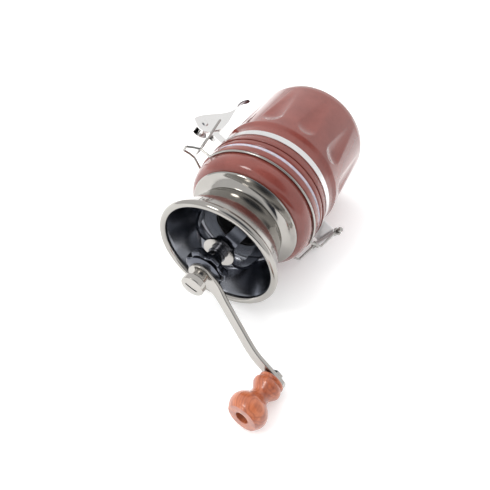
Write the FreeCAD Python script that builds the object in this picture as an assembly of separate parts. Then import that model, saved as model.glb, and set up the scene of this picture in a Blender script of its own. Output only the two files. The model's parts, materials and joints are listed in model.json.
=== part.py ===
import FreeCAD, Part
import math
import os

# Hand-crank burr coffee grinder with a clip-top ceramic jar. Millimetres, +Z up.
# The origin is the centre of the jar's flat base, the latch faces -Y and the hinge is at +Y.

V = FreeCAD.Vector
ORIGIN = V(0, 0, 0)
X_DIR = V(1, 0, 0)
Z_DIR = V(0, 0, 1)

# ---- driving dimensions ------------------------------------------------------------------
# jar
JAR_BASE_R = 37.5
JAR_SHOULDER_R = 45.0
JAR_SHOULDER_Z = 59.3
JAR_NECK_R = 43.2
JAR_TOP_Z = 84.3
JAR_INNER_R = 39.0
JAR_MOUTH_R = 36.6
JAR_FLOOR = 4.5
FLUTE_COUNT = 11
FLUTE_FIRST_DEG = -134.2
FLUTE_R = 18.0
FLUTE_AXIS_R = 60.35
FLUTE_ARCH_Z = 46.5
FLUTE_LEAN_DEG = 1.2

# neck band and its brackets
BAND_R = 43.9
BAND_T = 0.65
BAND_Z0 = 68.4
BAND_Z1 = 72.9
FOOT_T = 0.8
FOOT_Z0 = 67.6
FOOT_Z1 = 73.7

# clip-top wire
WIRE_R = 0.8
RING_R = 44.35
RING_Z = 93.5
TONGUE_ROOT_X = 8.0
HINGE_Y = 55.2
HINGE_Z = 68.4
HINGE_PIN_R = 1.2
EYE_X = 12.5

# latch lever, which turns on a rivet through the front bracket
PIVOT_Y = -61.7
PIVOT_Z = 71.4
RIVET_R = 1.5
LEVER_END_R = 6.9
DECK_Z = 73.8
CHEEK_T = 0.75
LEVER_CHEEK_X = 3.25
BRACKET_CHEEK_X = 2.25
BAIL_Y = -56.0
BAIL_Z = 61.0
BAIL_X = 5.9
BAIL_WIRE_R = 0.7
BAIL_TOP_Y = -51.9
BAIL_TOP_Z = 88.5

# lid
LID_R = 44.8
LID_Z0 = 87.1
LID_TOP_Z = 106.4
LID_BORE_R = 28.0
GASKET_Z0 = 84.65

# metal hopper
RIM_R = 42.0
RIM_Z = 141.2
BEAD_R = 2.35
NECK_R = 30.2
FLOOR_Z = 113.0
THROAT_R = 16.5

# shaft and grinding gear
SHAFT_R = 3.5
BUSH_R = 5.2
HUB_R = 10.7
HUB_Z = 138.2
HUB_WASHER_T = 1.0
HOUSING_R = 20.0
HOUSING_Z0 = 74.0
BURR_Z0 = 76.0
BURR_Z1 = 91.0
FLANGE_Z = 99.0
SCREW_CIRCLE_R = 24.0
SPIDER_FIRST_DEG = 60.0

# crank and knob
CRANK_DEG = 93.0
ARM_T = 2.6
ARM_HALF = 3.9
ARM_HUB_R = 8.3
ARM_Z = 159.1
ARM_END_R = 79.0
CAP_SLOT_DEG = 98.0
KNOB_R = 71.1
KNOB_Z = 181.0
KNOB_TILT_DEG = 9.6
SPINDLE_R = 2.4


# ---- helpers -----------------------------------------------------------------------------
def upright(a, b):
    return V(a, 0, b)


def side_on(a, b):
    return V(0, a, b)


def flat_on(a, b):
    return V(a, b, 0)


def closed_face(place, start, *steps):
    """Face from a start point and steps: (a, b) a line, ((a, b), (a, b)) an arc, [...] a curve."""
    here = place(*start)
    edges = []
    for step in steps:
        if isinstance(step, list):
            points = [here] + [place(*p) for p in step]
            curve = Part.BSplineCurve()
            curve.interpolate(points)
            edges.append(curve.toShape())
            here = points[-1]
        elif isinstance(step[0], tuple):
            middle = place(*step[0])
            end = place(*step[1])
            edges.append(Part.Arc(here, middle, end).toShape())
            here = end
        else:
            end = place(*step)
            edges.append(Part.LineSegment(here, end).toShape())
            here = end
    first = place(*start)
    if here.distanceToPoint(first) > 1e-6:
        edges.append(Part.LineSegment(here, first).toShape())
    return Part.Face(Part.Wire(edges))


def turned(start, *steps):
    """Solid of revolution about Z from an outline of (radius, height) points."""
    return closed_face(upright, start, *steps).revolve(ORIGIN, Z_DIR, 360)


def disc(radius, z0, z1, centre=(0, 0)):
    return Part.makeCylinder(radius, z1 - z0, V(centre[0], centre[1], z0))


def ring(outer, inner, z0, z1):
    return disc(outer, z0, z1).cut(disc(inner, z0 - 1, z1 + 1))


def cross_pin(radius, x0, x1, y, z):
    return Part.makeCylinder(radius, x1 - x0, V(x0, y, z), X_DIR)


def spun(shape, degrees):
    """Copy of a shape turned about Z."""
    copy = shape.copy()
    copy.rotate(ORIGIN, Z_DIR, degrees)
    return copy


def mirrored_x(shape):
    return shape.mirror(ORIGIN, X_DIR)


def polar(radius, degrees):
    angle = math.radians(degrees)
    return radius * math.cos(angle), radius * math.sin(angle)


def join(first, *others):
    return first.fuse(list(others)).removeSplitter()


def slab(face, x0, x1):
    """Side-on face pushed from x0 to x1."""
    plate = face.extrude(V(x1 - x0, 0, 0))
    plate.translate(V(x0, 0, 0))
    return plate


def wire_sweep(points, bend, radius):
    """Round wire along straight runs whose corners are rounded with the bend radius."""
    edges = []
    here = points[0]
    for i in range(1, len(points) - 1):
        corner = points[i]
        back = (points[i - 1] - corner).normalize()
        ahead = (points[i + 1] - corner).normalize()
        half = 0.5 * back.getAngle(ahead)
        reach = bend / math.tan(half)
        start = corner + back * reach
        end = corner + ahead * reach
        axis = (back + ahead).normalize()
        middle = corner + axis * (bend / math.sin(half) - bend)
        edges.append(Part.LineSegment(here, start).toShape())
        edges.append(Part.Arc(start, middle, end).toShape())
        here = end
    edges.append(Part.LineSegment(here, points[-1]).toShape())
    path = Part.Wire(edges)
    section = Part.Wire(Part.makeCircle(radius, points[0], points[1] - points[0]))
    return path.makePipeShell([section], True, False)


# ---- jar ---------------------------------------------------------------------------------
def flute_cutter():
    """Long round-ended scoop whose top makes the arch and whose lean fades it out below."""
    length = FLUTE_ARCH_Z + 12
    column = Part.makeCylinder(FLUTE_R, length, V(0, 0, -length))
    dome = Part.makeSphere(FLUTE_R, ORIGIN)
    scoop = column.fuse(dome)
    scoop.rotate(ORIGIN, V(0, 1, 0), -FLUTE_LEAN_DEG)
    scoop.translate(V(FLUTE_AXIS_R, 0, FLUTE_ARCH_Z))
    return scoop


def jar_outside():
    """Fluted outer shape of the jar, with no hollow."""
    outside = turned(
        (0, 0), (JAR_BASE_R, 0), ((41.2, 1.8), (42.7, 6.5)),
        [(43.6, 30), (44.5, 52), (44.8, 57.6)], ((45.0, JAR_SHOULDER_Z), (44.4, 60.6)),
        [(43.5, 63.0), (JAR_NECK_R, 66.5)], (JAR_NECK_R, 74.6),
        ((43.9, 75.4), (44.4, 76.8)), (44.4, 78.6), ((44.2, 79.4), (43.6, 79.7)),
        ((44.2, 80.0), (44.4, 80.8)), (44.4, 82.6), ((43.9, 83.8), (42.7, JAR_TOP_Z)),
        (0, JAR_TOP_Z))
    cutter = flute_cutter()
    for i in range(FLUTE_COUNT):
        outside = outside.cut(spun(cutter, FLUTE_FIRST_DEG + 360.0 * i / FLUTE_COUNT))
    return outside


def jar_base():
    """Floor disc of the jar, up to the level of its inner floor."""
    return jar_outside().common(disc(JAR_SHOULDER_R + 5, 0, JAR_FLOOR))


def jar_body():
    """Wall and neck of the jar, above its floor."""
    hollow = turned(
        (0, JAR_FLOOR), (36.6, JAR_FLOOR), ((38.3, 5.2), (JAR_INNER_R, 6.9)), (JAR_INNER_R, 62),
        [(38.4, 67), (JAR_MOUTH_R, 71.5)], (JAR_MOUTH_R, 83.2),
        ((36.9, 84.0), (37.7, JAR_TOP_Z)), (37.7, JAR_TOP_Z + 5), (0, JAR_TOP_Z + 5))
    return jar_outside().cut(disc(JAR_SHOULDER_R + 5, -1, JAR_FLOOR)).cut(hollow)


def neck_band():
    """Flat strap with a lapped end; the lap's rivets are their own node."""
    strap = ring(BAND_R, BAND_R - BAND_T, BAND_Z0, BAND_Z1)
    lap = ring(BAND_R + 0.4, BAND_R - 0.1, BAND_Z0 + 0.3, BAND_Z1 - 0.3)
    window = Part.makeBox(60, 9, 10, V(0, 0, BAND_Z0 - 2))
    strap = strap.fuse(spun(lap.common(window), 40))
    for x, y, z in band_rivet_places():
        outward = V(x, y, 0).normalize()
        strap = strap.cut(Part.makeCylinder(0.7, 1.05, V(x, y, z) - outward * 1.05, outward))
    return strap


def band_rivet_places():
    z = 0.5 * (BAND_Z0 + BAND_Z1)
    return [polar(BAND_R + 0.4, degrees) + (z,) for degrees in (42.8, 48.6)]


def band_rivets():
    heads = []
    for x, y, z in band_rivet_places():
        outward = V(x, y, 0).normalize()
        stem = Part.makeCylinder(0.7, 1.0, V(x, y, z) - outward, outward)
        head = Part.makeCone(1.2, 0.7, 0.4, V(x, y, z), outward)
        heads.append(stem.fuse(head))
    return Part.makeCompound(heads)


def bracket_foot(half_width, centre_deg, low_z=FOOT_Z0):
    """Curved plate that lies on the neck band, welded to it."""
    plate = ring(BAND_R + 0.05 + FOOT_T, BAND_R + 0.05, low_z, FOOT_Z1)
    window = Part.makeBox(60, 2 * half_width, 20, V(0, -half_width, FOOT_Z0 - 5))
    return spun(plate.common(window), centre_deg)


def latch_bracket():
    """Inverted channel that carries the lever's rivet: cheeks, slotted deck, crown and foot."""
    root_y = -(BAND_R + 0.3)
    rise = (-56.0, DECK_Z)
    nose_r = 4.0
    crown_r = 5.3
    under_r = crown_r - CHEEK_T
    crown_low, crown_middle, crown_high = 38, 56, 75
    crown = (about_rivet(crown_r, crown_middle), about_rivet(crown_r, crown_high))
    cheek = closed_face(
        side_on, (root_y, DECK_Z), rise, about_rivet(crown_r, crown_low), crown,
        (PIVOT_Y - 1.2, PIVOT_Z + nose_r - 0.2),
        ((PIVOT_Y - nose_r, PIVOT_Z), (PIVOT_Y + 2, PIVOT_Z - nose_r + 0.6)),
        (root_y, FOOT_Z0 + 0.6))
    deck = closed_face(
        side_on, (root_y, DECK_Z), rise, about_rivet(crown_r, crown_low), crown,
        about_rivet(under_r, crown_high),
        (about_rivet(under_r, crown_middle), about_rivet(under_r, crown_low)),
        (rise[0] - 0.35, DECK_Z - 0.8), (root_y, DECK_Z - 0.8))
    bore = cross_pin(RIVET_R, -10, 10, PIVOT_Y, PIVOT_Z)
    cheeks = [slab(cheek, x0, x0 + CHEEK_T).cut(bore)
              for x0 in (-BRACKET_CHEEK_X - CHEEK_T, BRACKET_CHEEK_X)]
    slot = Part.makeBox(4.0, 3.7, 4.0, V(-2.0, -52.6, DECK_Z - 2.0))
    plate = slab(deck, -BRACKET_CHEEK_X - 0.1, BRACKET_CHEEK_X + 0.1).cut(slot)
    return join(bracket_foot(7.0, -90), plate, *cheeks)


def latch_rivet():
    tip = LEVER_CHEEK_X + CHEEK_T + 0.12
    rivet = cross_pin(RIVET_R, -tip, tip, PIVOT_Y, PIVOT_Z)
    for side in (-1, 1):
        base = V(side * tip, PIVOT_Y, PIVOT_Z)
        rivet = rivet.fuse(Part.makeCone(2.3, 1.6, 0.5, base, X_DIR * side))
    return rivet.removeSplitter()


def hinge_bracket():
    """Foot, flat strap and rolled barrel that holds the hinge pin."""
    half = 9.5
    strap_z0 = HINGE_Z - 2.2
    strap_y0 = BAND_R + 0.4
    strap = Part.makeBox(2 * half, HINGE_Y - strap_y0, 0.9, V(-half, strap_y0, strap_z0))
    barrel = cross_pin(2.2, -half, half, HINGE_Y, HINGE_Z)
    solid = join(bracket_foot(half, 90, strap_z0), strap, barrel)
    solid = solid.cut(disc(BAND_R + 0.05, strap_z0 - 1, FOOT_Z1 + 1))
    return solid.cut(cross_pin(HINGE_PIN_R + 0.02, -20, 20, HINGE_Y, HINGE_Z))


def hinge_pin():
    reach = 16.0
    pin = cross_pin(HINGE_PIN_R, -reach, reach, HINGE_Y, HINGE_Z)
    for side in (-1, 1):
        base = V(side * reach, HINGE_Y, HINGE_Z)
        pin = pin.fuse(Part.makeCone(1.9, 1.5, 0.8, base, X_DIR * side))
    return pin.removeSplitter()


# ---- clip-top wire, lever and bail -------------------------------------------------------
def ring_arc(from_deg, to_deg):
    section = Part.Face(Part.Wire(Part.makeCircle(WIRE_R, V(RING_R, 0, RING_Z), V(0, 1, 0))))
    return spun(section.revolve(ORIGIN, Z_DIR, to_deg - from_deg), from_deg)


def lid_wire():
    """Two ring arcs in the lid's groove, the front tongue, and two hinge legs with eyes."""
    front_x = TONGUE_ROOT_X
    back_x = 13.0
    front_deg = math.degrees(math.asin(front_x / RING_R))
    back_deg = math.degrees(math.asin(back_x / RING_R))
    arc = ring_arc(-90 + front_deg, 90 - back_deg)
    front_y = -math.sqrt(RING_R ** 2 - front_x ** 2)
    back_y = math.sqrt(RING_R ** 2 - back_x ** 2)
    half = [V(front_x, front_y, RING_Z), V(4.6, -51.5, 90.9), V(4.9, -56.0, 93.4),
            V(3.2, -60.4, 97.0)]
    other = [V(-p.x, p.y, p.z) for p in reversed(half)]
    tongue = wire_sweep(half + other, 2.2, WIRE_R)
    leg = wire_sweep(
        [V(back_x, back_y, RING_Z), V(back_x, 51.9, 90.6), V(EYE_X, HINGE_Y - 1.0, HINGE_Z + 2.0)],
        2.6, WIRE_R)
    eye_r = HINGE_PIN_R + 0.08 + WIRE_R
    eye = Part.makeTorus(eye_r, WIRE_R, V(EYE_X, HINGE_Y, HINGE_Z), X_DIR)
    pieces = [mirrored_x(arc), tongue, leg, mirrored_x(leg), eye, mirrored_x(eye)]
    caps = [Part.makeSphere(WIRE_R, V(s * front_x, front_y, RING_Z)) for s in (-1, 1)]
    caps += [Part.makeSphere(WIRE_R, V(s * back_x, back_y, RING_Z)) for s in (-1, 1)]
    clear_pin = cross_pin(HINGE_PIN_R + 0.08, -30, 30, HINGE_Y, HINGE_Z)
    return join(arc, *(pieces + caps)).cut(clear_pin)


def about_rivet(radius, degrees):
    angle = math.radians(degrees)
    return PIVOT_Y + radius * math.cos(angle), PIVOT_Z + radius * math.sin(angle)


def latch_lever():
    """Folded channel: two cheeks, an outer web with a flat hooked top, and a leaf-shaped tab."""
    web_t = 0.8
    outer_x = LEVER_CHEEK_X + CHEEK_T
    heel = (-69.1, 74.9)
    hook_tip = about_rivet(LEVER_END_R, 108.7)
    web_edge = [(-59.3, 55.2), (-55.0, 45.5), (-54.3, 40.0)]
    cheek = closed_face(
        side_on, heel, hook_tip, (about_rivet(LEVER_END_R, 70), about_rivet(LEVER_END_R, 30)),
        (-53.4, 69.5), [(-50.7, 61.3), (-51.6, 52.0), (-53.0, 43.0)], web_edge[2],
        [web_edge[1], web_edge[0], heel])
    hook = closed_face(
        side_on, heel, hook_tip, (hook_tip[0] + 0.4, hook_tip[1] - 0.69),
        (heel[0] + 0.4, heel[1] - 0.69))
    inside = [(y + web_t, z) for y, z in [heel] + web_edge]
    web = closed_face(side_on, heel, web_edge, inside[3], [inside[2], inside[1], inside[0]])
    tab = closed_face(
        side_on, (-54.3, 40.2), [(-55.0, 34.5), (-54.5, 28.8), (-51.2, 21.2)], (-50.5, 21.6),
        [(-53.7, 29.0), (-54.2, 34.5), (-53.5, 40.2)])
    leaf = closed_face(
        upright, (-outer_x, 41), (-outer_x, 40), [(-3.2, 35), (-2.6, 30), (-2.0, 25.0)],
        ((0, 21.7), (2.0, 25.0)), [(2.6, 30), (3.2, 35), (outer_x, 40)], (outer_x, 41))
    leaf_column = leaf.extrude(V(0, 20, 0))
    leaf_column.translate(V(0, -65, 0))
    bores = cross_pin(RIVET_R + 0.05, -9, 9, PIVOT_Y, PIVOT_Z).fuse(
        cross_pin(BAIL_WIRE_R + 0.06, -9, 9, BAIL_Y, BAIL_Z))
    cheeks = [slab(cheek, x0, x0 + CHEEK_T).cut(bores) for x0 in (-outer_x, LEVER_CHEEK_X)]
    folds = [slab(face, -outer_x, outer_x) for face in (hook, web)]
    folds.append(slab(tab, -outer_x, outer_x).common(leaf_column))
    return join(cheeks[0], cheeks[1], *folds)


def latch_bail():
    """U-shaped wire link: stubs in the lever's cheeks, two arms and a cross-bar."""
    stub_x = LEVER_CHEEK_X - 0.2
    half = [V(stub_x, BAIL_Y, BAIL_Z), V(BAIL_X, BAIL_Y, BAIL_Z), V(BAIL_X, BAIL_TOP_Y, BAIL_TOP_Z)]
    other = [V(-p.x, p.y, p.z) for p in reversed(half)]
    return wire_sweep(half + other, 1.0, BAIL_WIRE_R)


# ---- lid ---------------------------------------------------------------------------------
def lid_ring():
    """Glazed ceramic ring with the wire groove, a round shoulder and a central bore."""
    return turned(
        (35.6, LID_Z0), (43.7, LID_Z0), ((44.5, 87.4), (LID_R, 88.3)), (LID_R, 90.6),
        ((44.5, 91.5), (43.7, 91.9)), (43.35, 92.5), (43.35, 94.6),
        [(43.5, 96.0), (43.6, 98.0), (43.0, 101.0), (41.4, 104.2), (38.4, 106.2)],
        (37.6, LID_TOP_Z), (LID_BORE_R, LID_TOP_Z), (LID_BORE_R, FLANGE_Z + 0.1),
        (35.6, FLANGE_Z + 0.1))


def gasket():
    return turned(
        (37.4, GASKET_Z0), (43.6, GASKET_Z0), ((44.2, 84.95), (44.3, 85.6)), (44.3, 86.3),
        ((44.1, 86.9), (43.5, LID_Z0 - 0.02)), (37.4, LID_Z0 - 0.02))


def collar():
    """Stamped skirt: hemmed flange on the lid, flaring in to the seat of the hopper."""
    return turned(
        (37.6, LID_TOP_Z + 0.05), ((38.6, 107.2), (37.9, 108.2)),
        [(34.6, 109.3), (31.9, 111.0), (NECK_R + 0.4, FLOOR_Z - 0.4)],
        (27.7, FLOOR_Z - 0.4), (27.7, FLOOR_Z - 1.3), (29.2, FLOOR_Z - 1.3),
        [(30.6, 110.2), (33.6, 108.2), (36.4, 107.4)], (36.4, LID_TOP_Z + 0.05))


def screw_places():
    return [polar(SCREW_CIRCLE_R, SPIDER_FIRST_DEG + 60 + 120 * i) for i in range(3)]


def hopper():
    """Bell-shaped bowl with a rolled rim, a sloping floor, a throat and three screw posts."""
    bead_in = RIM_R - 2 * BEAD_R
    bowl = turned(
        (THROAT_R, 112.6), (NECK_R - 0.2, 112.6), ((NECK_R, 113.4), (NECK_R + 0.2, 114.6)),
        [(31.1, 116.0), (31.9, 117.4), (33.3, 121.6), (35.6, 128.0), (37.6, 133.2), (39.6, 137.9)],
        ((40.9, 138.8), (RIM_R, RIM_Z)), ((RIM_R - BEAD_R, RIM_Z + BEAD_R), (bead_in, RIM_Z)),
        ((37.4, 139.6), (38.0, 137.9)),
        [(36.4, 133.4), (34.4, 128.4), (32.1, 122.0), (30.7, 118.0), (29.7, 116.0)],
        ((28.9, 114.9), (27.6, 114.2)), (THROAT_R, 113.6))
    post_z0 = FLANGE_Z + 0.2
    for place in screw_places():
        bowl = bowl.fuse(disc(3.4, post_z0, 112.8, place))
        bowl = bowl.cut(disc(1.5, post_z0 - 1, 110.5, place))
    return bowl


def spider_arm():
    """Bowed strip from the bridge's hub down to its foot on the hopper floor."""
    strip = closed_face(
        upright, (7.0, HUB_Z - 1.4), [(13.0, 136.2), (19.5, 131.2), (24.0, 122.6), (25.6, 115.6)],
        (25.6, 114.25), (27.0, 114.35), (27.0, 116.2),
        [(25.4, 123.2), (20.6, 132.3), (13.6, 137.4), (7.0, HUB_Z - 0.05)])
    arm = strip.extrude(V(0, 9, 0))
    arm.translate(V(0, -4.5, 0))
    return arm


def bridge():
    plate = disc(HUB_R - 0.4, HUB_Z - 1.4, HUB_Z - 0.05)
    hub = plate.fuse(disc(BUSH_R + 2.0, HUB_Z - 7.2, HUB_Z - 1.4))
    arms = [spun(spider_arm(), SPIDER_FIRST_DEG + 120 * i) for i in range(3)]
    whole = join(hub, *arms)
    whole = whole.cut(disc(HUB_R + 5, HUB_Z - 0.04, HUB_Z + 2))
    return whole.cut(disc(BUSH_R, HUB_Z - 10, HUB_Z + 1))


def hub_washer():
    return ring(HUB_R, BUSH_R, HUB_Z, HUB_Z + HUB_WASHER_T)


def bushing(z0, z1, flange_z):
    sleeve = ring(BUSH_R, SHAFT_R + 0.06, z0, z1)
    return sleeve.fuse(ring(BUSH_R + 1.3, SHAFT_R + 0.06, flange_z, flange_z + 0.8))


def housing_plate():
    """Flanged inlet tube, screwed up to the hopper so that the lid is clamped between them."""
    plate = turned(
        (16.0, 112.4), (18.0, 112.4), (18.0, FLANGE_Z), (34.6, FLANGE_Z), (34.6, FLANGE_Z - 2.4),
        (16.0, FLANGE_Z - 2.4))
    for place in screw_places():
        plate = plate.cut(disc(1.7, FLANGE_Z - 5, FLANGE_Z + 1, place))
    return plate


def burr_cup():
    """Sleeve under the plate, with the ledge that the outer burr seats against."""
    top_z = FLANGE_Z - 2.42
    return turned((16.0, top_z), (HOUSING_R, top_z), (HOUSING_R, HOUSING_Z0), (17.7, HOUSING_Z0),
                  (17.7, 91.6), (16.0, 93.0))


def shaft_guide():
    """Three-armed web across the inlet tube that carries the lower bushing."""
    hub = ring(BUSH_R + 2.0, BUSH_R, 97.0, 103.0)
    web = Part.makeBox(9.1, 3.0, 5.0, V(BUSH_R + 1.6, -1.5, 97.5))
    webs = [spun(web, SPIDER_FIRST_DEG + 120 * i) for i in range(3)]
    return join(hub, *webs)


def outer_burr():
    """Fixed ceramic ring with tapering teeth cut in its bore."""
    body = turned((12.0, BURR_Z1), (17.6, BURR_Z1), (17.6, BURR_Z0), (15.2, BURR_Z0))
    teeth = 18
    slot = Part.makeBox(3.4, 1.1, BURR_Z1 - BURR_Z0 + 2, V(11.4, -0.55, BURR_Z0 - 1))
    slot.rotate(V(13, 0, BURR_Z0), V(1, 0, 0), 9)
    for i in range(teeth):
        body = body.cut(spun(slot, 360.0 * i / teeth))
    return body


def burr_retainer():
    """Spring ring under the outer burr, held in the mouth of the housing."""
    return ring(17.65, 16.3, BURR_Z0 - 1.4, BURR_Z0 - 0.05)


def inner_burr():
    """Turning ceramic cone with slanted cutting grooves."""
    body = turned((SHAFT_R, BURR_Z1 - 1), (7.4, BURR_Z1 - 1), (10.9, BURR_Z1 - 3),
                  (14.2, BURR_Z0 - 0.4), (13.2, BURR_Z0 - 1.2), (SHAFT_R, BURR_Z0 - 1.2))
    grooves = 12
    slot = Part.makeBox(5.0, 1.5, 22, V(10.4, -0.75, BURR_Z0 - 4))
    slot.rotate(V(12, 0, BURR_Z0), V(1, 0, 0), -14)
    for i in range(grooves):
        body = body.cut(spun(slot, 360.0 * i / grooves))
    return body


def housing_screws():
    screws = []
    for x, y in screw_places():
        shank = disc(1.45, FLANGE_Z - 2.5, 109.5, (x, y))
        head = disc(2.8, FLANGE_Z - 4.6, FLANGE_Z - 2.45, (x, y))
        slot = Part.makeBox(6, 0.8, 1.0, V(x - 3, y - 0.4, FLANGE_Z - 4.7))
        screws.append(shank.fuse(head).cut(slot))
    return Part.makeCompound(screws)


# ---- shaft, adjuster and crank -----------------------------------------------------------
def shaft():
    """Drive shaft with rolled rings for the adjusting thread and a round crown end."""
    rod = disc(SHAFT_R, 68.0, 161.0)
    groove = ring(SHAFT_R + 1, SHAFT_R - 0.25, 0, 0.55)
    first_groove_z = 142.0
    pitch = 1.1
    for i in range(14):
        cut = groove.copy()
        cut.translate(V(0, 0, first_groove_z + pitch * i))
        rod = rod.cut(cut)
    return rod


def burr_nut():
    """Hexagon nut and washer that hold the inner burr on the shaft."""
    corners = [V(*polar(6.4, 60 * i), 70.0) for i in range(6)]
    hexagon = Part.Face(Part.makePolygon(corners + [corners[0]])).extrude(V(0, 0, 3.2))
    washer = disc(8.2, 73.2, 74.6)
    return hexagon.fuse(washer).cut(disc(SHAFT_R, 60, 80))


def burr_spring():
    """Flat-wire compression spring between the inner burr and the lower bushing."""
    inner_r = 5.4
    outer_r = 6.4
    wire_h = 0.9
    pitch = 1.75
    helix = Part.makeHelix(pitch, 3 * pitch, 0.5 * (inner_r + outer_r))
    corners = [V(inner_r, 0, 0), V(outer_r, 0, 0), V(outer_r, 0, wire_h), V(inner_r, 0, wire_h)]
    section = Part.makePolygon(corners + [corners[0]])
    coil = Part.Wire(helix).makePipeShell([section], True, True)
    coil.translate(V(0, 0, BURR_Z1 - 0.9))
    return coil


def thrust_collar():
    """Straight sleeve with two thin beads, between the hub washer and the star nut."""
    return turned(
        (SHAFT_R, 139.3), (5.3, 139.3), (5.3, 140.9), (5.8, 141.1), (5.8, 141.6), (5.3, 141.8),
        (5.3, 144.9), (5.8, 145.1), (5.8, 145.6), (5.3, 145.8), (5.3, 147.2), (SHAFT_R, 147.2))


def star_nut():
    """Grind adjusting nut: lobed finger wheel over a short round neck."""
    wheel_z0 = 149.6
    wheel_z1 = 155.2
    lobes = 6
    wheel = turned((0, wheel_z0), (12.6, wheel_z0), ((13.5, 150.6), (13.8, 152.4)),
                   ((13.5, 154.2), (12.6, wheel_z1)), (0, wheel_z1))
    for i in range(lobes):
        x, y = polar(15.6, 360.0 * (i + 0.5) / lobes)
        wheel = wheel.cut(disc(4.6, wheel_z0 - 1, wheel_z1 + 1, (x, y)))
    neck = disc(7.2, 147.6, wheel_z0)
    return join(wheel, neck).cut(disc(SHAFT_R + 0.08, 140, 160))


def lock_plate():
    """Low cone between the star nut and the crank's hub."""
    return turned((SHAFT_R, 155.9), (11.0, 155.9), (11.0, 156.5), (8.2, 157.7), (SHAFT_R, 157.7))


def arm_side():
    """Side outline of the cranked strip, as (reach, height) points along its middle."""
    middle = [(-ARM_HUB_R, ARM_Z), (9.5, ARM_Z), (14.0, ARM_Z + 1.3), (47.0, 175.0),
              (54.5, 177.8), (ARM_END_R, 181.9)]
    upper = []
    lower = []
    for i, (a, b) in enumerate(middle):
        before = middle[max(i - 1, 0)]
        after = middle[min(i + 1, len(middle) - 1)]
        slope = math.atan2(after[1] - before[1], after[0] - before[0])
        da = -math.sin(slope) * ARM_T / 2
        db = math.cos(slope) * ARM_T / 2
        upper.append((a + da, b + db))
        lower.append((a - da, b - db))
    return upper + lower[::-1]


def crank_arm():
    """Flat strip with a round hub that tapers into it, bent up and over the rim."""
    points = arm_side()
    side = closed_face(upright, points[0], *points[1:])
    band = side.extrude(V(0, 30, 0))
    band.translate(V(0, -15, 0))
    neck_x = 24.0
    hub_x = ARM_HUB_R * 0.35
    hub_y = ARM_HUB_R * math.sqrt(1 - 0.35 ** 2)
    plan = closed_face(
        flat_on, (hub_x, hub_y), ((-ARM_HUB_R, 0), (hub_x, -hub_y)),
        [(12.0, -5.4), (neck_x, -ARM_HALF)], (ARM_END_R - ARM_HALF, -ARM_HALF),
        ((ARM_END_R, 0), (ARM_END_R - ARM_HALF, ARM_HALF)), (neck_x, ARM_HALF),
        [(12.0, 5.4), (hub_x, hub_y)])
    column = plan.extrude(V(0, 0, 60))
    column.translate(V(0, 0, 140))
    arm = band.common(column)
    arm = arm.cut(disc(SHAFT_R, 140, 175))
    arm = spun(arm, CRANK_DEG)
    return arm.cut(spindle_cylinder(SPINDLE_R, -10, 10))


def cap_nut():
    """Screw cap that closes the shaft: round neck, drum head and a closed driver slot."""
    body = turned(
        (0, ARM_Z + ARM_T / 2 + 2.0), (3.4, ARM_Z + ARM_T / 2 + 2.0), (3.4, 160.45), (4.75, 160.45),
        (4.75, 164.8), (7.1, 165.1), (7.6, 165.7), (7.6, 168.8), ((7.35, 169.4), (6.8, 169.6)),
        ((3.5, 170.1), (0, 170.2)))
    slot = Part.makeBox(8.2, 1.3, 3.0, V(-4.1, -0.65, 168.6))
    body = body.cut(spun(slot, CAP_SLOT_DEG))
    return body.cut(disc(SHAFT_R, 150, 161.02))


# ---- knob, on an axis that leans in towards the shaft ------------------------------------
def spindle_base():
    x, y = polar(KNOB_R, CRANK_DEG)
    return V(x, y, KNOB_Z)


def spindle_dir():
    lean = math.radians(KNOB_TILT_DEG)
    x, y = polar(-math.sin(lean), CRANK_DEG)
    return V(x, y, math.cos(lean))


def spindle_cylinder(radius, s0, s1):
    direction = spindle_dir()
    return Part.makeCylinder(radius, s1 - s0, spindle_base() + direction * s0, direction)


def on_spindle(shape):
    """Move a shape turned about Z onto the leaning knob axis."""
    moved = shape.copy()
    moved.rotate(ORIGIN, V(0, 1, 0), -KNOB_TILT_DEG)
    moved.rotate(ORIGIN, Z_DIR, CRANK_DEG)
    moved.translate(spindle_base())
    return moved


def knob():
    """Turned wooden grip: grooved collar, cove, waist and round bulb with a recessed end."""
    body = turned(
        (SPINDLE_R + 0.08, 2.3), (7.4, 2.3), ((8.1, 3.0), (7.9, 3.9)), (7.4, 4.3), (7.6, 4.8),
        [(8.9, 6.6), (8.7, 8.8), (6.6, 11.8), (5.8, 14.3), (6.8, 17.0), (9.9, 20.2), (11.9, 24.0),
         (11.6, 27.6), (10.2, 30.4)],
        ((9.7, 31.1), (9.0, 31.4)), (4.0, 31.4), (4.0, 26.2), (SPINDLE_R + 0.08, 26.2))
    return on_spindle(body)


def knob_screw():
    head = turned((0, 26.35), (3.6, 26.35), (3.6, 27.6), ((2.6, 28.4), (0, 28.7)))
    stem = disc(SPINDLE_R, -3.6, 26.4)
    slot = Part.makeBox(8, 0.9, 1.2, V(-4, -0.45, 27.8))
    return on_spindle(stem.fuse(head).cut(slot))


def knob_nut():
    corners = [V(*polar(4.0, 60 * i), -3.4) for i in range(6)]
    nut = Part.Face(Part.makePolygon(corners + [corners[0]])).extrude(V(0, 0, 1.6))
    return on_spindle(nut.cut(disc(SPINDLE_R, -10, 0)))


def knob_washer():
    return on_spindle(ring(6.0, SPINDLE_R, 1.45, 2.05))


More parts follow.
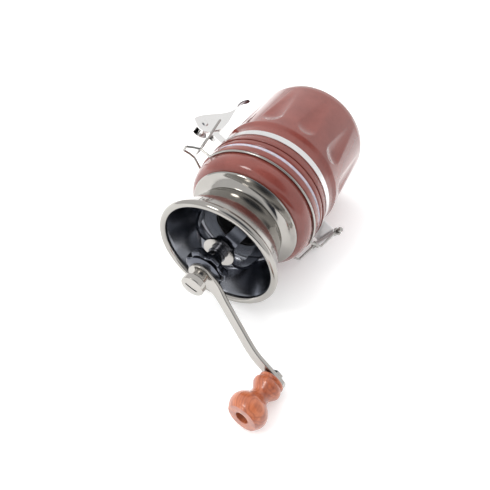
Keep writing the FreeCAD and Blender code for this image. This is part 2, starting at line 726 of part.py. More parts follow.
# ---- write one STEP per node -------------------------------------------------------------
NODES = {
    "jar_base": jar_base,
    "jar_body": jar_body,
    "neck_band": neck_band,
    "band_rivets": band_rivets,
    "latch_bracket": latch_bracket,
    "latch_rivet": latch_rivet,
    "hinge_bracket": hinge_bracket,
    "hinge_pin": hinge_pin,
    "lid_ring": lid_ring,
    "gasket": gasket,
    "lid_wire": lid_wire,
    "collar": collar,
    "hopper": hopper,
    "bridge": bridge,
    "hub_washer": hub_washer,
    "upper_bushing": lambda: bushing(HUB_Z - 8.05, HUB_Z + HUB_WASHER_T - 0.05, HUB_Z - 8.05),
    "housing_plate": housing_plate,
    "burr_cup": burr_cup,
    "shaft_guide": shaft_guide,
    "lower_bushing": lambda: bushing(97.0, 103.1, 103.05),
    "outer_burr": outer_burr,
    "burr_retainer": burr_retainer,
    "housing_screws": housing_screws,
    "shaft": shaft,
    "inner_burr": inner_burr,
    "burr_nut": burr_nut,
    "burr_spring": burr_spring,
    "thrust_collar": thrust_collar,
    "lock_plate": lock_plate,
    "crank_arm": crank_arm,
    "cap_nut": cap_nut,
    "knob_screw": knob_screw,
    "knob_nut": knob_nut,
    "knob_washer": knob_washer,
    "star_nut": star_nut,
    "knob": knob,
    "latch_lever": latch_lever,
    "latch_bail": latch_bail,
}

os.makedirs("parts", exist_ok=True)
for name, make in NODES.items():
    shape = make()
    shape.exportStep("parts/" + name + ".step")
    box = shape.BoundBox
    print(name, "solids", len(shape.Solids), "valid", shape.isValid(), "volume", round(shape.Volume, 1),
          "z", round(box.ZMin, 2), round(box.ZMax, 2))
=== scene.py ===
"""Looks for the hand-crank burr coffee grinder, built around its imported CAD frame.

The grinder's axis is Z. It lies on its side, so the floor is an upright plane beside it.
Outlines and points are in millimetres unless a comment says otherwise.
"""

import json
import math

import bpy
from mathutils import Matrix, Vector

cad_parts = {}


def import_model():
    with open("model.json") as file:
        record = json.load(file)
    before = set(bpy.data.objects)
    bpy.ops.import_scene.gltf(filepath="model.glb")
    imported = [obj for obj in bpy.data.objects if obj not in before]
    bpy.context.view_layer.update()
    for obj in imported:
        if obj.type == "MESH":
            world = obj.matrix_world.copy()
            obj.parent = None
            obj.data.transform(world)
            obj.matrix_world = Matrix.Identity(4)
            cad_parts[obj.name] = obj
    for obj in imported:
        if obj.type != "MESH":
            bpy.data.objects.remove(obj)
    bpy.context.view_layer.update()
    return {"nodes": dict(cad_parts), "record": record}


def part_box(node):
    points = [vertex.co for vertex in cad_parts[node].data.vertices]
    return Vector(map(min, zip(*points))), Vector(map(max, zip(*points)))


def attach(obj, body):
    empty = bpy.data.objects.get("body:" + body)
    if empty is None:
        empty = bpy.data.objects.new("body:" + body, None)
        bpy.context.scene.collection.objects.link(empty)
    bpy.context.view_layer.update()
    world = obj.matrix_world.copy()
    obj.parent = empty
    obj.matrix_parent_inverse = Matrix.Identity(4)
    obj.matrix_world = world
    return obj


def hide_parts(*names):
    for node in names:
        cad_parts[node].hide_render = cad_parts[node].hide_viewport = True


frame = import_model()

MM = 0.001
TAU = 2 * math.pi
AXIS = Vector((0, 0, 1))
MIRROR_X = Matrix.Scale(-1, 3, (1, 0, 0))

# The direction, square to the axis, that points down, and the floor's distance from the axis.
DOWN_DEG = 33.0
DOWN = Vector((math.cos(math.radians(DOWN_DEG)), math.sin(math.radians(DOWN_DEG)), 0))
UP = -DOWN
ACROSS = AXIS.cross(DOWN)
REST_R = 45.0

# The crank arm's direction, and the knob's foot and lean back towards the axis.
CRANK = math.radians(93.0)
KNOB_REACH = 71.1
KNOB_Z = 181.0
KNOB_LEAN = math.radians(9.6)


# ---- node materials ----------------------------------------------------------------------
def mixed(tree, factor, a, b, blend="MIX"):
    """Mix of two colours, each a plain colour or another node's output."""
    node = tree.nodes.new("ShaderNodeMix")
    node.data_type = "RGBA"
    node.blend_type = blend
    if isinstance(factor, float):
        node.inputs["Factor"].default_value = factor
    else:
        tree.links.new(factor, node.inputs["Factor"])
    for value, socket in ((a, node.inputs["A"]), (b, node.inputs["B"])):
        if isinstance(value, tuple):
            socket.default_value = (*value, 1.0)
        else:
            tree.links.new(value, socket)
    return node.outputs["Result"]


class Nodes:
    """Small helper round one material's node tree."""

    def __init__(self, name):
        self.material = bpy.data.materials.new(name)
        self.material.use_nodes = True
        self.tree = self.material.node_tree
        self.shader = self.tree.nodes["Principled BSDF"]
        self.coords = self.add("ShaderNodeTexCoord").outputs["Object"]

    def add(self, kind, **settings):
        node = self.tree.nodes.new(kind)
        for key, value in settings.items():
            setattr(node, key, value)
        return node

    def link(self, source, target):
        self.tree.links.new(source, target)

    def set(self, **values):
        """Shader settings by name, with underscores for spaces."""
        for key, value in values.items():
            self.shader.inputs[key.replace("_", " ")].default_value = value

    def mapped(self, scale, rotation=(0, 0, 0)):
        node = self.add("ShaderNodeMapping")
        node.inputs["Scale"].default_value = scale
        node.inputs["Rotation"].default_value = rotation
        self.link(self.coords, node.inputs["Vector"])
        return node.outputs["Vector"]

    def noise(self, vector, scale, detail, roughness=0.55):
        node = self.add("ShaderNodeTexNoise")
        node.inputs["Scale"].default_value = scale
        node.inputs["Detail"].default_value = detail
        node.inputs["Roughness"].default_value = roughness
        self.link(vector, node.inputs["Vector"])
        return node.outputs["Fac"]

    def cloud(self, scale, detail):
        """Noise that is the same size in every direction."""
        return self.noise(self.coords, scale, detail)

    def ramp(self, value, *stops):
        node = self.add("ShaderNodeValToRGB")
        elements = node.color_ramp.elements
        for i, (position, colour) in enumerate(stops):
            element = elements[i] if i < 2 else elements.new(position)
            element.position = position
            element.color = (*colour, 1.0)
        self.link(value, node.inputs["Fac"])
        return node.outputs["Color"]

    def mix(self, factor, a, b, blend="MIX"):
        return mixed(self.tree, factor, a, b, blend)

    def stained(self, amount, base, stain):
        """Base colour with part of it multiplied by the stain."""
        return self.mix(amount, base, self.mix(1.0, base, stain, "MULTIPLY"))

    def paint(self, colour):
        self.link(colour, self.shader.inputs["Base Color"])

    def roughen(self, value, low, high):
        """Roughness that follows a value from low to high."""
        node = self.add("ShaderNodeMapRange")
        node.inputs["To Min"].default_value = low
        node.inputs["To Max"].default_value = high
        self.link(value, node.inputs["Value"])
        self.link(node.outputs["Result"], self.shader.inputs["Roughness"])

    def bump(self, height, strength, distance_mm):
        node = self.add("ShaderNodeBump")
        node.inputs["Strength"].default_value = strength
        node.inputs["Distance"].default_value = distance_mm * MM
        self.link(height, node.inputs["Height"])
        self.link(node.outputs["Normal"], self.shader.inputs["Normal"])


def glaze():
    """Red-brown glaze: a slow cloud of three tones, fine dark specks and a clear coat."""
    m = Nodes("glaze_red_brown")
    body = m.ramp(m.cloud(scale=55, detail=5),
                  (0.25, (0.165, 0.036, 0.028)), (0.5, (0.205, 0.048, 0.037)), (0.8, (0.250, 0.066, 0.052)))
    specks = m.ramp(m.cloud(scale=1400, detail=2), (0.30, (0.05, 0.01, 0.006)), (0.38, (1, 1, 1)))
    m.paint(m.stained(0.35, body, specks))
    m.roughen(m.cloud(scale=240, detail=3), low=0.13, high=0.22)
    m.set(Specular_IOR_Level=0.3, Coat_Weight=0.8, Coat_Roughness=0.03, Coat_IOR=1.5)
    m.bump(m.cloud(scale=85, detail=2), strength=0.35, distance_mm=0.35)
    return m.material


def metal(name, low, high, rough, grain, strength=0.12):
    """Polished or brushed metal with fine marks along the grain and a slow cloud in its tone."""
    m = Nodes(name)
    m.paint(m.mix(m.cloud(scale=45, detail=3), low, high))
    marks = m.noise(m.mapped(grain), scale=1.0, detail=3)
    m.roughen(marks, *rough)
    m.set(Metallic=1.0)
    m.bump(marks, strength, distance_mm=0.02)
    return m.material


def wood():
    """Lacquered wood whose grain and growth bands run along the leaning spindle."""
    m = Nodes("knob_lacquered_wood")
    along = m.mapped((240, 240, 26), (0, KNOB_LEAN, 0))
    grain = m.noise(along, scale=1.0, detail=6, roughness=0.6)
    bands = m.add("ShaderNodeTexWave", wave_type="BANDS", bands_direction="X")
    for key, value in (("Scale", 0.9), ("Distortion", 5.0), ("Detail", 3.0)):
        bands.inputs[key].default_value = value
    m.link(along, bands.inputs["Vector"])
    base = m.ramp(grain,
                  (0.30, (0.26, 0.055, 0.020)), (0.55, (0.46, 0.125, 0.048)), (0.80, (0.60, 0.20, 0.085)))
    veins = m.ramp(bands.outputs["Fac"], (0.0, (0.55, 0.42, 0.38)), (0.5, (1, 1, 1)))
    m.paint(m.stained(0.5, base, veins))
    m.roughen(grain, low=0.30, high=0.42)
    m.set(Coat_Weight=0.8, Coat_Roughness=0.12)
    m.bump(grain, strength=0.12, distance_mm=0.08)
    return m.material


def latch_chrome():
    """Bright chrome with a dark mauve dipped coat on the thumb leaf, below its edge line."""
    edge_low_m, edge_high_m = 0.0365, 0.0375
    dipped = (0.075, 0.040, 0.052)
    m = Nodes("latch_chrome")
    split = m.add("ShaderNodeSeparateXYZ")
    m.link(m.coords, split.inputs["Vector"])
    edge = m.add("ShaderNodeMapRange")
    edge.inputs["From Min"].default_value = edge_low_m
    edge.inputs["From Max"].default_value = edge_high_m
    m.link(split.outputs["Z"], edge.inputs["Value"])
    chrome = m.mix(m.cloud(scale=45, detail=3), (0.80, 0.79, 0.78), (0.90, 0.89, 0.88))
    m.paint(m.mix(edge.outputs["Result"], dipped, chrome))
    m.roughen(m.noise(m.mapped((900, 60, 60)), scale=1.0, detail=3), low=0.06, high=0.14)
    m.set(Metallic=1.0)
    return m.material


def matt(name, low, high, tone, rough, relief, **settings):
    """Matt surface. tone, rough and relief each begin with a cloud's scale and detail.

    rough ends with the roughness range, and relief with the bump's strength and depth in mm.
    """
    m = Nodes(name)
    m.paint(m.ramp(m.cloud(*tone), (0.3, low), (0.7, high)))
    m.roughen(m.cloud(*rough[:2]), *rough[2:])
    m.set(**settings)
    m.bump(m.cloud(*relief[:2]), *relief[2:])
    return m.material


MATERIALS = {
    "glaze": glaze(),
    "band_steel": metal("band_brushed_steel", low=(0.74, 0.74, 0.74), high=(0.86, 0.86, 0.86),
                        rough=(0.24, 0.36), grain=(30, 30, 5200)),
    "wire": metal("wire_chrome", low=(0.38, 0.37, 0.355), high=(0.48, 0.47, 0.45),
                  rough=(0.12, 0.20), grain=(500, 500, 500), strength=0.06),
    "latch_steel": latch_chrome(),
    "gunmetal": metal("gunmetal_mirror", low=(0.36, 0.345, 0.325), high=(0.44, 0.425, 0.40),
                      rough=(0.08, 0.12), grain=(25, 25, 2600), strength=0.04),
    "spindle_steel": metal("spindle_steel", low=(0.42, 0.405, 0.38), high=(0.52, 0.50, 0.475),
                           rough=(0.12, 0.22), grain=(700, 700, 700), strength=0.08),
    "silicone": matt("gasket_silicone", low=(0.42, 0.39, 0.46), high=(0.54, 0.51, 0.58),
                     tone=(300, 3), rough=(900, 2, 0.35, 0.5), relief=(700, 2, 0.15, 0.05),
                     Subsurface_Weight=0.2, Subsurface_Scale=0.002, Specular_IOR_Level=0.4),
    "housing_plastic": matt("housing_moulded_plastic", low=(0.012, 0.012, 0.014), high=(0.03, 0.03, 0.033),
                            tone=(200, 3), rough=(1500, 2, 0.42, 0.6), relief=(2200, 2, 0.3, 0.03)),
    "burr_ceramic": matt("burr_ceramic", low=(0.66, 0.64, 0.59), high=(0.80, 0.79, 0.75),
                         tone=(350, 4), rough=(900, 3, 0.45, 0.65), relief=(1800, 3, 0.35, 0.05)),
    "bushing_steel": metal("bushing_steel", low=(0.16, 0.16, 0.18), high=(0.24, 0.24, 0.26),
                           rough=(0.2, 0.34), grain=(300, 300, 2000)),
    "knob_wood": wood(),
}
# Steel for the hopper's inner wall and floor, darker than its outside: painted shade inside the bowl.
BOWL_PAINTED_SHADE_STEEL = metal("bowl_steel_painted_shade", low=(0.17, 0.18, 0.205), high=(0.24, 0.25, 0.275),
                   rough=(0.14, 0.22), grain=(60, 60, 900), strength=0.05)
# Dark steel for the parts in and over the hopper's mouth: painted shade, not their own finish.
PAINTED_SHADE_STEEL = metal("steel_painted_shade", low=(0.10, 0.107, 0.13), high=(0.15, 0.16, 0.185),
                   rough=(0.12, 0.20), grain=(60, 60, 900), strength=0.05)
PAINTED_SHADE_NODES = ("bridge", "thrust_collar", "lock_plate")
SLOT_OF = {part["node"]: part["material_slot"] for part in frame["record"]["subparts"]}


def finish_nodes():
    """Each CAD node gets its slot's finish, but those at the hopper's mouth get steel darkened as painted
    shade.
    """
    for name, node in frame["nodes"].items():
        node.data.materials.clear()
        node.data.materials.append(PAINTED_SHADE_STEEL if name in PAINTED_SHADE_NODES else MATERIALS[SLOT_OF[name]])


# ---- mesh helpers ------------------------------------------------------------------------
SHARP_DEG = 38
ON_AXIS_R = 1e-6
TUBE_SIDES = 12
BEND_STEPS = 8


def mesh_object(name, vertices, faces, material, smooth=True):
    mesh = bpy.data.meshes.new(name)
    mesh.from_pydata([Vector(v) for v in vertices], [], faces)
    mesh.update()
    for polygon in mesh.polygons:
        polygon.use_smooth = smooth
    thing = bpy.data.objects.new(name, mesh)
    bpy.context.scene.collection.objects.link(thing)
    mesh.materials.append(material)
    return thing


def make_piece(name, vertices, faces, body, slot, *nodes):
    """A visible mesh in millimetres that rides on a body and stands for CAD nodes."""
    thing = mesh_object(name, [Vector(v) * MM for v in vertices], faces, MATERIALS[slot])
    thing.data.set_sharp_from_angle(angle=math.radians(SHARP_DEG))
    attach(thing, body)
    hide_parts(*nodes)
    return thing


def rounded(points, steps, closed=True):
    """Outline whose corners with a third number are rounded to that radius."""
    result = []
    last = len(points) - 1
    for i, point in enumerate(points):
        corner = Vector(point[:2])
        radius = point[2] if len(point) > 2 else 0
        if not radius or (not closed and i in (0, last)):
            result.append(tuple(corner))
            continue
        before = (Vector(points[i - 1][:2]) - corner).normalized()
        after = (Vector(points[(i + 1) % len(points)][:2]) - corner).normalized()
        half = math.acos(max(-1, min(1, before.dot(after)))) / 2
        centre = corner + (before + after).normalized() * (radius / math.sin(half))
        first = corner + before * (radius / math.tan(half)) - centre
        end = corner + after * (radius / math.tan(half)) - centre
        start = math.atan2(first.y, first.x)
        turn = math.remainder(math.atan2(end.y, end.x) - start, TAU)
        for k in range(steps + 1):
            a = start + turn * k / steps
            result.append((centre.x + radius * math.cos(a), centre.y + radius * math.sin(a)))
    return result


def flowing(points, per):
    """Smooth curve through every point, with so many steps per span."""
    before = tuple(2 * a - b for a, b in zip(points[0], points[1]))
    after = tuple(2 * a - b for a, b in zip(points[-1], points[-2]))
    run = [before, *points, after]
    result = []
    for i in range(1, len(run) - 2):
        p0, p1, p2, p3 = run[i - 1:i + 3]
        for k in range(per):
            t = k / per
            result.append(tuple(
                0.5 * (2 * b + (c - a) * t + (2 * a - 5 * b + 4 * c - d) * t ** 2
                       + (3 * b - a - 3 * c + d) * t ** 3)
                for a, b, c, d in zip(p0, p1, p2, p3)))
    return result + [tuple(points[-1])]


def dense(points, gap):
    """Outline with extra points so that no run is longer than the gap."""
    result = [points[0]]
    for (r0, z0), (r1, z1) in zip(points, points[1:]):
        count = max(1, math.ceil(math.hypot(r1 - r0, z1 - z0) / gap))
        result += [(r0 + (r1 - r0) * k / count, z0 + (z1 - z0) * k / count) for k in range(1, count + 1)]
    return result


def lathe_mesh(outline, segments, closed, shape):
    """Vertices and faces of an outline turned about Z; shape may change the radius round the turn."""
    vertices, faces, rows = [], [], []
    for r, z in outline:
        if r < ON_AXIS_R:
            rows.append([len(vertices)] * segments)
            vertices.append((0, 0, z))
            continue
        rows.append(list(range(len(vertices), len(vertices) + segments)))
        for j in range(segments):
            a = TAU * j / segments
            radius = shape(r, z, a) if shape else r
            vertices.append((radius * math.cos(a), radius * math.sin(a), z))
    pairs = list(zip(rows, rows[1:])) + ([(rows[-1], rows[0])] if closed else [])
    for low, high in pairs:
        for j in range(segments):
            k = (j + 1) % segments
            corners = [low[j], low[k], high[k], high[j]]
            face = [c for i, c in enumerate(corners) if c != corners[i - 1]]
            if len(face) > 2:
                faces.append(face)
    return vertices, faces


def lathe(name, outline, body, slot, *nodes, segments, closed=True, shape=None, place=None):
    """A turned piece, moved by the place matrix where one is given."""
    vertices, faces = lathe_mesh(outline, segments, closed, shape)
    if place:
        vertices = [place @ Vector(v) for v in vertices]
    return make_piece(name, vertices, faces, body, slot, *nodes)


def skin(count, ring):
    """Faces over a row of vertex rings, with a cap on each end."""
    faces = []
    for a, b in ((i * ring, (i + 1) * ring) for i in range(count - 1)):
        faces += [(a + k, a + (k + 1) % ring, b + (k + 1) % ring, b + k) for k in range(ring)]
    return faces + [tuple(reversed(range(ring))), tuple(range((count - 1) * ring, count * ring))]


def tube_mesh(points, radius):
    """Vertices and faces of a round wire along a path, without twist."""
    vertices = []
    last = len(points) - 1
    normal = None
    for i, point in enumerate(points):
        ahead = (points[min(i + 1, last)] - points[max(i - 1, 0)]).normalized()
        if normal is None:
            normal = ahead.orthogonal().normalized()
        normal = (normal - ahead * normal.dot(ahead)).normalized()
        side = ahead.cross(normal)
        for k in range(TUBE_SIDES):
            a = TAU * k / TUBE_SIDES
            vertices.append(point + (normal * math.cos(a) + side * math.sin(a)) * radius)
    return vertices, skin(len(points), TUBE_SIDES)


def bent(points, bend):
    """Path along straight runs with its corners rounded to the bend radius."""
    path = [points[0]]
    for before, corner, after in zip(points, points[1:], points[2:]):
        back = (before - corner).normalized()
        ahead = (after - corner).normalized()
        half = back.angle(ahead) / 2
        centre = corner + (back + ahead).normalized() * (bend / math.sin(half))
        start = corner + back * (bend / math.tan(half)) - centre
        end = corner + ahead * (bend / math.tan(half)) - centre
        path += [centre + start.slerp(end, k / BEND_STEPS) for k in range(BEND_STEPS + 1)]
    return path + [points[-1]]


def soft_least(a, b, softness):
    """Least of two lengths with the crease between them rounded."""
    h = max(softness - abs(a - b), 0) / softness
    return min(a, b) - h * h * softness / 4


# ---- jar ---------------------------------------------------------------------------------
JAR_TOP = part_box("jar_body")[1].z / MM
JAR_INNER_R = 39.0
JAR_FLOOR = 4.5
FLUTES = 11
FLUTE_FIRST_DEG = -134.2
FLUTE_R = 18.0
FLUTE_AXIS_R = 60.35
FLUTE_ARCH_Z = 46.5
FLUTE_LEAN = math.tan(math.radians(1.2))
FLUTED_FROM_R = 38
FLUTED_LOW_Z = 2
FLUTED_HIGH_Z = 58
GLAZE_SOFTNESS = 0.35
WALL_GAP = 0.8
SEGMENTS_PER_FLUTE = 28


def fluted(r, z, angle):
    """Radius of the jar's outside where the scooped flutes cut into it."""
    if r < FLUTED_FROM_R or z > FLUTED_HIGH_Z or z < FLUTED_LOW_Z:
        return r
    pitch = TAU / FLUTES
    off = math.remainder(angle - math.radians(FLUTE_FIRST_DEG), pitch)
    below = FLUTE_ARCH_Z - z
    axis_r = FLUTE_AXIS_R + max(below, 0) * FLUTE_LEAN
    scoop = FLUTE_R ** 2 - min(below, 0) ** 2 - (axis_r * math.sin(off)) ** 2
    if scoop <= 0:
        return r
    cut = axis_r * math.cos(off) - math.sqrt(scoop)
    return soft_least(r, cut, GLAZE_SOFTNESS)


def jar():
    """Glazed jar, from the middle of its foot over the outside and back to the inner floor."""
    foot = [(0, 0), (37.0, 0)] + flowing([(37.5, 0.05), (40.2, 0.9), (41.9, 3.0), (42.85, 7.2)], 5)[:-1]
    wall = dense(flowing([(42.85, 7.2), (43.6, 30), (44.5, 52), (44.8, 57.6)], 4), WALL_GAP)
    shoulder = flowing([(45.0, 59.3), (44.5, 60.5), (43.6, 62.9), (43.2, 66.5)], 4)
    neck = rounded([(43.2, 68), (43.2, 75.0, 0.6), (44.4, 76.3, 0.9), (44.4, 79.7, 0.7),
                    (43.5, 79.85, 0.3), (44.4, 80.1, 0.7), (44.4, JAR_TOP, 1.4), (36.6, JAR_TOP, 1.2),
                    (36.6, 71.5, 3.0), (JAR_INNER_R, 64, 4.0), (JAR_INNER_R, JAR_FLOOR, 2.4),
                    (0, JAR_FLOOR)], 6, False)
    lathe("jar_glazed", foot + wall + shoulder + neck, "jar", "glaze", "jar_body", "jar_base",
          segments=FLUTES * SEGMENTS_PER_FLUTE, closed=False, shape=fluted)


# ---- lid ---------------------------------------------------------------------------------
LID_SEGMENTS = 180
BELL_SEGMENTS = 192


def lid():
    """Glazed ring with a small step at its edge and a recess for the gasket."""
    edge = rounded([(35.6, 87.1, 0.6), (44.8, 87.1, 1.1), (44.8, 91.8, 1.0), (43.35, 92.4, 0.4),
                    (43.35, 94.4)], 5, False)
    top = flowing([(43.45, 95.0), (43.65, 97.6), (43.1, 100.8), (41.5, 103.9), (39.0, 105.9),
                   (37.2, 106.4)], 6)
    inside = rounded([(37.2, 106.4), (28.0, 106.4, 0.5), (28.0, 99.1, 0.4), (35.6, 99.1, 0.8),
                      (35.6, 88)], 4, False)
    lathe("lid_glazed", edge + top + inside[1:], "lid", "glaze", "lid_ring", segments=LID_SEGMENTS)


def spun_collar():
    """Spun metal collar between the lid ring and the bell."""
    hem = rounded([(36.6, 106.5), (37.9, 106.5, 0.9), (38.5, 107.5, 0.55), (37.9, 108.35)], 5, False)
    flare = flowing([(37.9, 108.35), (34.8, 109.3), (32.2, 110.8), (30.7, 112.2), (30.45, 112.6)], 6)
    under = rounded([(27.7, 112.6), (27.7, 111.7), (29.3, 111.7, 0.4), (33.4, 108.4, 2.0),
                     (36.4, 107.5, 0.4)], 5, False)
    lathe("collar_spun", hem[:-1] + flare + under, "lid", "gunmetal", "collar", segments=LID_SEGMENTS)


def bell():
    """Outline of the hopper: spun bell, rolled rim, sloping floor and throat."""
    rim_r, rim_z, bead = 39.65, 141.2, 2.35
    out = flowing([(30.2, 114.2), (31.2, 116.4), (31.9, 117.6), (33.3, 121.6), (35.6, 128.0),
                   (37.6, 133.2), (39.3, 137.6)], 6)
    roll = [(rim_r + bead * math.cos(a), rim_z + bead * math.sin(a))
            for a in (math.radians(d) for d in range(-65, 251, 15))]
    back = flowing([(38.35, 138.0), (36.5, 133.4), (34.5, 128.4), (32.1, 122.0), (30.7, 118.2),
                    (29.7, 116.2), (28.6, 114.9), (26.5, 114.2)], 6)
    foot = rounded([(16.5, 113.6, 0.3), (16.5, 112.6, 0.3), (30.1, 112.6, 0.5), (30.2, 114.2)], 4, False)
    return out + roll + back + [(16.8, 113.6)] + foot[1:-1]


def hopper():
    """Bell whose inner wall and floor are drawn in a darker steel of their own, as painted shade."""
    wall_low, wall_high, floor_r, level = 113.3, 139.0, 29, 0.5
    shell = lathe("hopper_bell", bell(), "lid", "gunmetal", "hopper", segments=BELL_SEGMENTS)
    # The faces inside the bowl take this second, darker material: painted shade.
    shell.data.materials.append(BOWL_PAINTED_SHADE_STEEL)
    for polygon in shell.data.polygons:
        centre = polygon.center / MM
        outward = Vector((centre.x, centre.y, 0))
        inner_wall = wall_low < centre.z < wall_high and polygon.normal.dot(outward) < 0
        if inner_wall or (outward.length < floor_r and polygon.normal.z > level):
            polygon.material_index = 1


# ---- knob and crank ----------------------------------------------------------------------
def spindle_place():
    """Matrix from the knob's own axes to its place on the crank."""
    out = Vector((math.cos(CRANK), math.sin(CRANK), 0))
    along = (AXIS * math.cos(KNOB_LEAN) - out * math.sin(KNOB_LEAN)).normalized()
    side = along.cross(out).normalized()
    turn = Matrix((side.cross(along), side, along)).transposed().to_4x4()
    return Matrix.Translation(out * KNOB_REACH + AXIS * KNOB_Z) @ turn


def knob():
    """Turned grip: collar, bead, cove, waist, bulb and recessed flat end."""
    collar = rounded([(2.5, 2.3), (7.6, 2.3, 0.5), (8.15, 3.2, 0.7), (7.7, 4.2, 0.3), (7.25, 4.4, 0.25),
                      (7.7, 4.9)], 5, False)
    body = flowing([(7.7, 4.9), (8.8, 6.6), (8.75, 8.8), (7.6, 10.7), (6.2, 12.8), (5.85, 14.6),
                    (6.6, 16.8), (8.6, 18.9), (10.6, 21.2), (11.8, 24.2), (11.7, 27.0), (10.8, 29.3),
                    (9.9, 30.6)], 6)
    end = rounded([(9.9, 30.6), (9.4, 31.4, 0.5), (4.0, 31.4, 0.4), (4.0, 26.2, 0.3), (2.5, 26.2)], 5, False)
    lathe("knob_turned", collar[:-1] + body + end[1:], "grip", "knob_wood", "knob",
          segments=120, place=spindle_place())


def crank_strip():
    """Cranked flat strip: round hub, taper, two bends and a round end, with its edges eased."""
    hub_r, hub_end, neck, end_reach, half = 8.3, 2.9, 24.0, 79.0, 3.9
    half_thick, ease, ease_share, taper, least = 1.3, 0.45, 0.8, 1.9, 0.01
    path = flowing([(-8.3, 159.1), (-4.0, 159.1), (4.0, 159.1), (8.8, 159.3), (14.0, 160.6),
                    (22.0, 164.1), (38.0, 171.1), (47.0, 175.0), (51.5, 176.7), (56.5, 178.1),
                    (67.0, 179.9), (79.0, 181.9)], 8)

    def half_width(s):
        """Half the strip's width at a distance from the axis, never quite nothing."""
        if s < hub_end:
            return math.sqrt(max(hub_r ** 2 - s ** 2, least))
        if s < neck:
            t = (s - hub_end) / (neck - hub_end)
            return half + (math.sqrt(hub_r ** 2 - hub_end ** 2) - half) * (1 - t) ** taper
        return math.sqrt(max(half ** 2 - max(s - (end_reach - half), 0) ** 2, least))

    rings = []
    turn = Matrix.Rotation(CRANK, 3, "Z")
    for i, (s, z) in enumerate(path):
        before, after = path[max(i - 1, 0)], path[min(i + 1, len(path) - 1)]
        slope = math.atan2(after[1] - before[1], after[0] - before[0])
        w = half_width(s)
        e = min(ease, ease_share * w)
        section = rounded([(w, half_thick, e), (-w, half_thick, e), (-w, -half_thick, e),
                           (w, -half_thick, e)], 3)
        rings.append([turn @ Vector((s - up * math.sin(slope), y, z + up * math.cos(slope)))
                      for y, up in section])
    vertices = [vertex for ring in rings for vertex in ring]
    make_piece("crank_arm_strip", vertices, skin(len(rings), len(rings[0])),
               "crank", "spindle_steel", "crank_arm")


def star():
    """Six-lobed adjusting wheel in the steel darkened as painted shade."""
    lobes, notch_axis, notch_r, wheel_r = 6, 15.6, 4.6, 13.8
    hub_r, softness = 8, 0.8

    def lobed(r, z, angle):
        off = math.remainder(angle - math.pi / lobes, TAU / lobes)
        scoop = notch_r ** 2 - (notch_axis * math.sin(off)) ** 2
        if r < hub_r or scoop <= 0:
            return r
        cut = notch_axis * math.cos(off) - math.sqrt(scoop)
        return r * soft_least(wheel_r, cut, softness) / wheel_r

    outline = rounded([(3.6, 147.6), (7.2, 147.6, 0.3), (7.2, 149.6, 0.3), (wheel_r, 149.6, 1.3),
                       (wheel_r, 155.2, 1.3), (8.5, 155.2), (3.6, 155.2)], 5)
    wheel = lathe("star_wheel", outline, "adjuster", "spindle_steel", "star_nut",
                  segments=180, shape=lobed)
    # Painted shade: the wheel is drawn in the darkened steel instead of its slot's finish.
    wheel.data.materials[0] = PAINTED_SHADE_STEEL


# ---- wires -------------------------------------------------------------------------------
def lid_wire():
    """Ring in the lid's groove with a tongue loop in front and a leg with an eye on each hinge side."""
    wire_r, ring_r, ring_z, ring_steps = 0.8, 44.35, 93.5, 60
    front_x, back_x = 8.0, 13.0
    tongue_bend, leg_bend = 2.2, 2.6
    hinge = Vector((12.5, 55.2, 68.4))
    pin_r, play = 1.2, 0.08
    eye_r = pin_r + play + wire_r
    eye_y, eye_z = -1.0, 2.0

    low = -math.pi / 2 + math.asin(front_x / ring_r)
    high = math.pi / 2 - math.asin(back_x / ring_r)
    turns = [low + (high - low) * i / ring_steps for i in range(ring_steps + 1)]
    arc = [Vector((ring_r * math.cos(a), ring_r * math.sin(a), ring_z)) for a in turns]
    tip = [Vector((4.6, -51.5, 90.9)), Vector((4.9, -56.0, 93.4)), Vector((3.2, -60.4, 97.0))]
    tongue = bent([arc[0]] + tip + [MIRROR_X @ p for p in reversed(tip)] + [MIRROR_X @ arc[0]], tongue_bend)
    leg = bent([arc[-1], Vector((back_x, 51.9, 90.6)), hinge + Vector((0, eye_y, eye_z))], leg_bend)[1:]
    start = math.atan2(eye_z, eye_y)
    eye = [hinge + Vector((0, math.cos(start - a), math.sin(start - a))) * eye_r
           for a in (math.radians(d) for d in range(8, 345, 12))]
    half = arc[1:] + leg + eye
    path = [MIRROR_X @ p for p in reversed(half)] + list(reversed(tongue)) + half
    make_piece("lid_wire_bent", *tube_mesh(path, wire_r), "lid", "wire", "lid_wire")


def bail():
    """Upright wire loop whose two feet turn in towards each other in the lever."""
    wire_r, bend = 0.7, 1.0
    side = [Vector((3.05, -56.0, 61.0)), Vector((5.9, -56.0, 61.0)), Vector((5.9, -51.9, 88.5))]
    path = bent(side + [MIRROR_X @ p for p in reversed(side)], bend)
    make_piece("bail_wire", *tube_mesh(path, wire_r), "bail", "wire", "latch_bail")


# ---- floor, light and camera, in metres --------------------------------------------------
FLOOR_MID_Z = 0.1
FLOOR_REACH = 4.0
LIGHT_ROLL = Vector((0.01, 0.02, 1))

# Patches of the studio's surroundings: direction, the angles of their full and their outer
# edge in degrees, and colour. Each lies over the one before.
COVE = (0.92, 0.92, 0.92)
PATCHES = {
    "grey gap": ((-0.93, -0.20, 0.25), 16, 40, (0.10, 0.11, 0.13)),
    "flag over the hopper": ((-0.20, 0.42, 0.88), 13, 30, (0.03, 0.035, 0.05)),
    "window for the glints": ((-0.45, -0.75, 0.45), 7, 10, (9.0, 8.8, 8.5)),
}


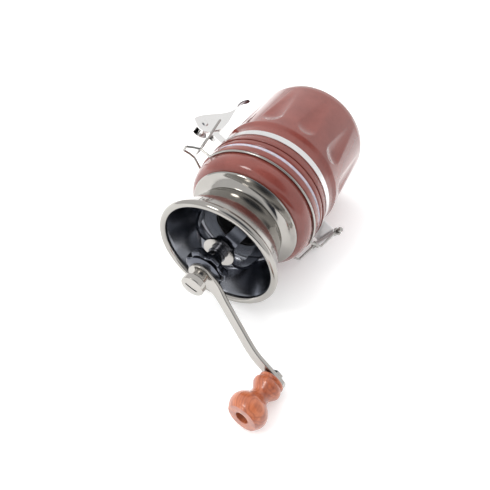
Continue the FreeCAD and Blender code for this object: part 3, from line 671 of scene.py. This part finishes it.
def floor_material():
    """Pale floor that is only there from its upper side."""
    m = Nodes("floor_paper")
    m.set(Roughness=0.9, Specular_IOR_Level=0.1, Emission_Color=(1, 1, 1, 1), Emission_Strength=0.22)
    m.paint(m.mix(m.cloud(scale=3, detail=2), (0.93, 0.93, 0.93), (0.96, 0.96, 0.96)))
    clear = m.add("ShaderNodeBsdfTransparent")
    side = m.add("ShaderNodeNewGeometry")
    both = m.add("ShaderNodeMixShader")
    m.link(side.outputs["Backfacing"], both.inputs["Fac"])
    m.link(m.shader.outputs["BSDF"], both.inputs[1])
    m.link(clear.outputs["BSDF"], both.inputs[2])
    m.link(both.outputs["Shader"], m.tree.nodes["Material Output"].inputs["Surface"])
    return m.material


def floor():
    """Flat sheet that the grinder's side rests against."""
    centre = DOWN * REST_R * MM + AXIS * FLOOR_MID_Z
    corners = [centre + ACROSS * FLOOR_REACH * a + AXIS * FLOOR_REACH * b
               for a, b in ((-1, -1), (-1, 1), (1, 1), (1, -1))]
    sheet = mesh_object("floor", corners, [(0, 1, 2, 3)], floor_material(), False)
    if sheet.data.polygons[0].normal.dot(DOWN) > 0:
        sheet.data.flip_normals()


def area_light(name, location, target, size, power):
    """Soft light that isn't itself seen in reflections."""
    data = bpy.data.lights.new(name, "AREA")
    data.shape = "RECTANGLE"
    data.size, data.size_y = size
    data.energy = power
    back = (location - Vector(target)).normalized()
    right = LIGHT_ROLL.cross(back).normalized()
    aim = Matrix((right, back.cross(right), back)).transposed().to_4x4()
    lamp = bpy.data.objects.new(name, data)
    lamp.matrix_world = Matrix.Translation(location) @ aim
    lamp.visible_glossy = False
    bpy.context.scene.collection.objects.link(lamp)


def world():
    """White cove with the patches laid over it, each fixed in space."""
    sky = bpy.data.worlds.new("studio")
    sky.use_nodes = True
    bpy.context.scene.world = sky
    tree = sky.node_tree
    coords = tree.nodes.new("ShaderNodeTexCoord")
    colour = COVE
    for direction, inner, outer, tone in PATCHES.values():
        dot = tree.nodes.new("ShaderNodeVectorMath")
        dot.operation = "DOT_PRODUCT"
        dot.inputs[1].default_value = Vector(direction).normalized()
        step = tree.nodes.new("ShaderNodeMapRange")
        step.interpolation_type = "SMOOTHSTEP"
        step.inputs["From Min"].default_value = math.cos(math.radians(outer))
        step.inputs["From Max"].default_value = math.cos(math.radians(inner))
        tree.links.new(coords.outputs["Generated"], dot.inputs[0])
        tree.links.new(dot.outputs["Value"], step.inputs["Value"])
        colour = mixed(tree, step.outputs["Result"], colour, tone)
    tree.links.new(colour, tree.nodes["Background"].inputs["Color"])
    tree.nodes["Background"].inputs["Strength"].default_value = 1.0


def camera():
    """Stands above the floor, looking down at the mouth of the hopper."""
    place = Vector((-258.1, -33.7, 307.5)) * MM
    right = Vector((-0.476, 0.733, -0.485)).normalized()
    forward = Vector((0.804, 0.138, -0.580)).normalized()
    up = right.cross(forward).normalized()
    right = forward.cross(up).normalized()
    data = bpy.data.cameras.new("camera")
    data.sensor_width = 36.0
    data.lens = 36.73
    data.clip_start = 0.01
    eye = bpy.data.objects.new("camera", data)
    eye.matrix_world = Matrix.Translation(place) @ Matrix((right, up, -forward)).transposed().to_4x4()
    bpy.context.scene.collection.objects.link(eye)
    bpy.context.scene.camera = eye


finish_nodes()
for build in (jar, lid, spun_collar, hopper, knob, crank_strip, star, lid_wire, bail, floor, world):
    build()
area_light("overhead_softbox", UP * 1.0 + AXIS * 0.2, target=(0, 0, 0.1), size=(1.8, 1.8), power=9)
area_light("side_softbox", UP * 0.6 - ACROSS * 0.8, target=(0, 0, 0.06), size=(0.7, 0.9), power=3)
camera()
bpy.context.scene.view_settings.view_transform = "Standard"
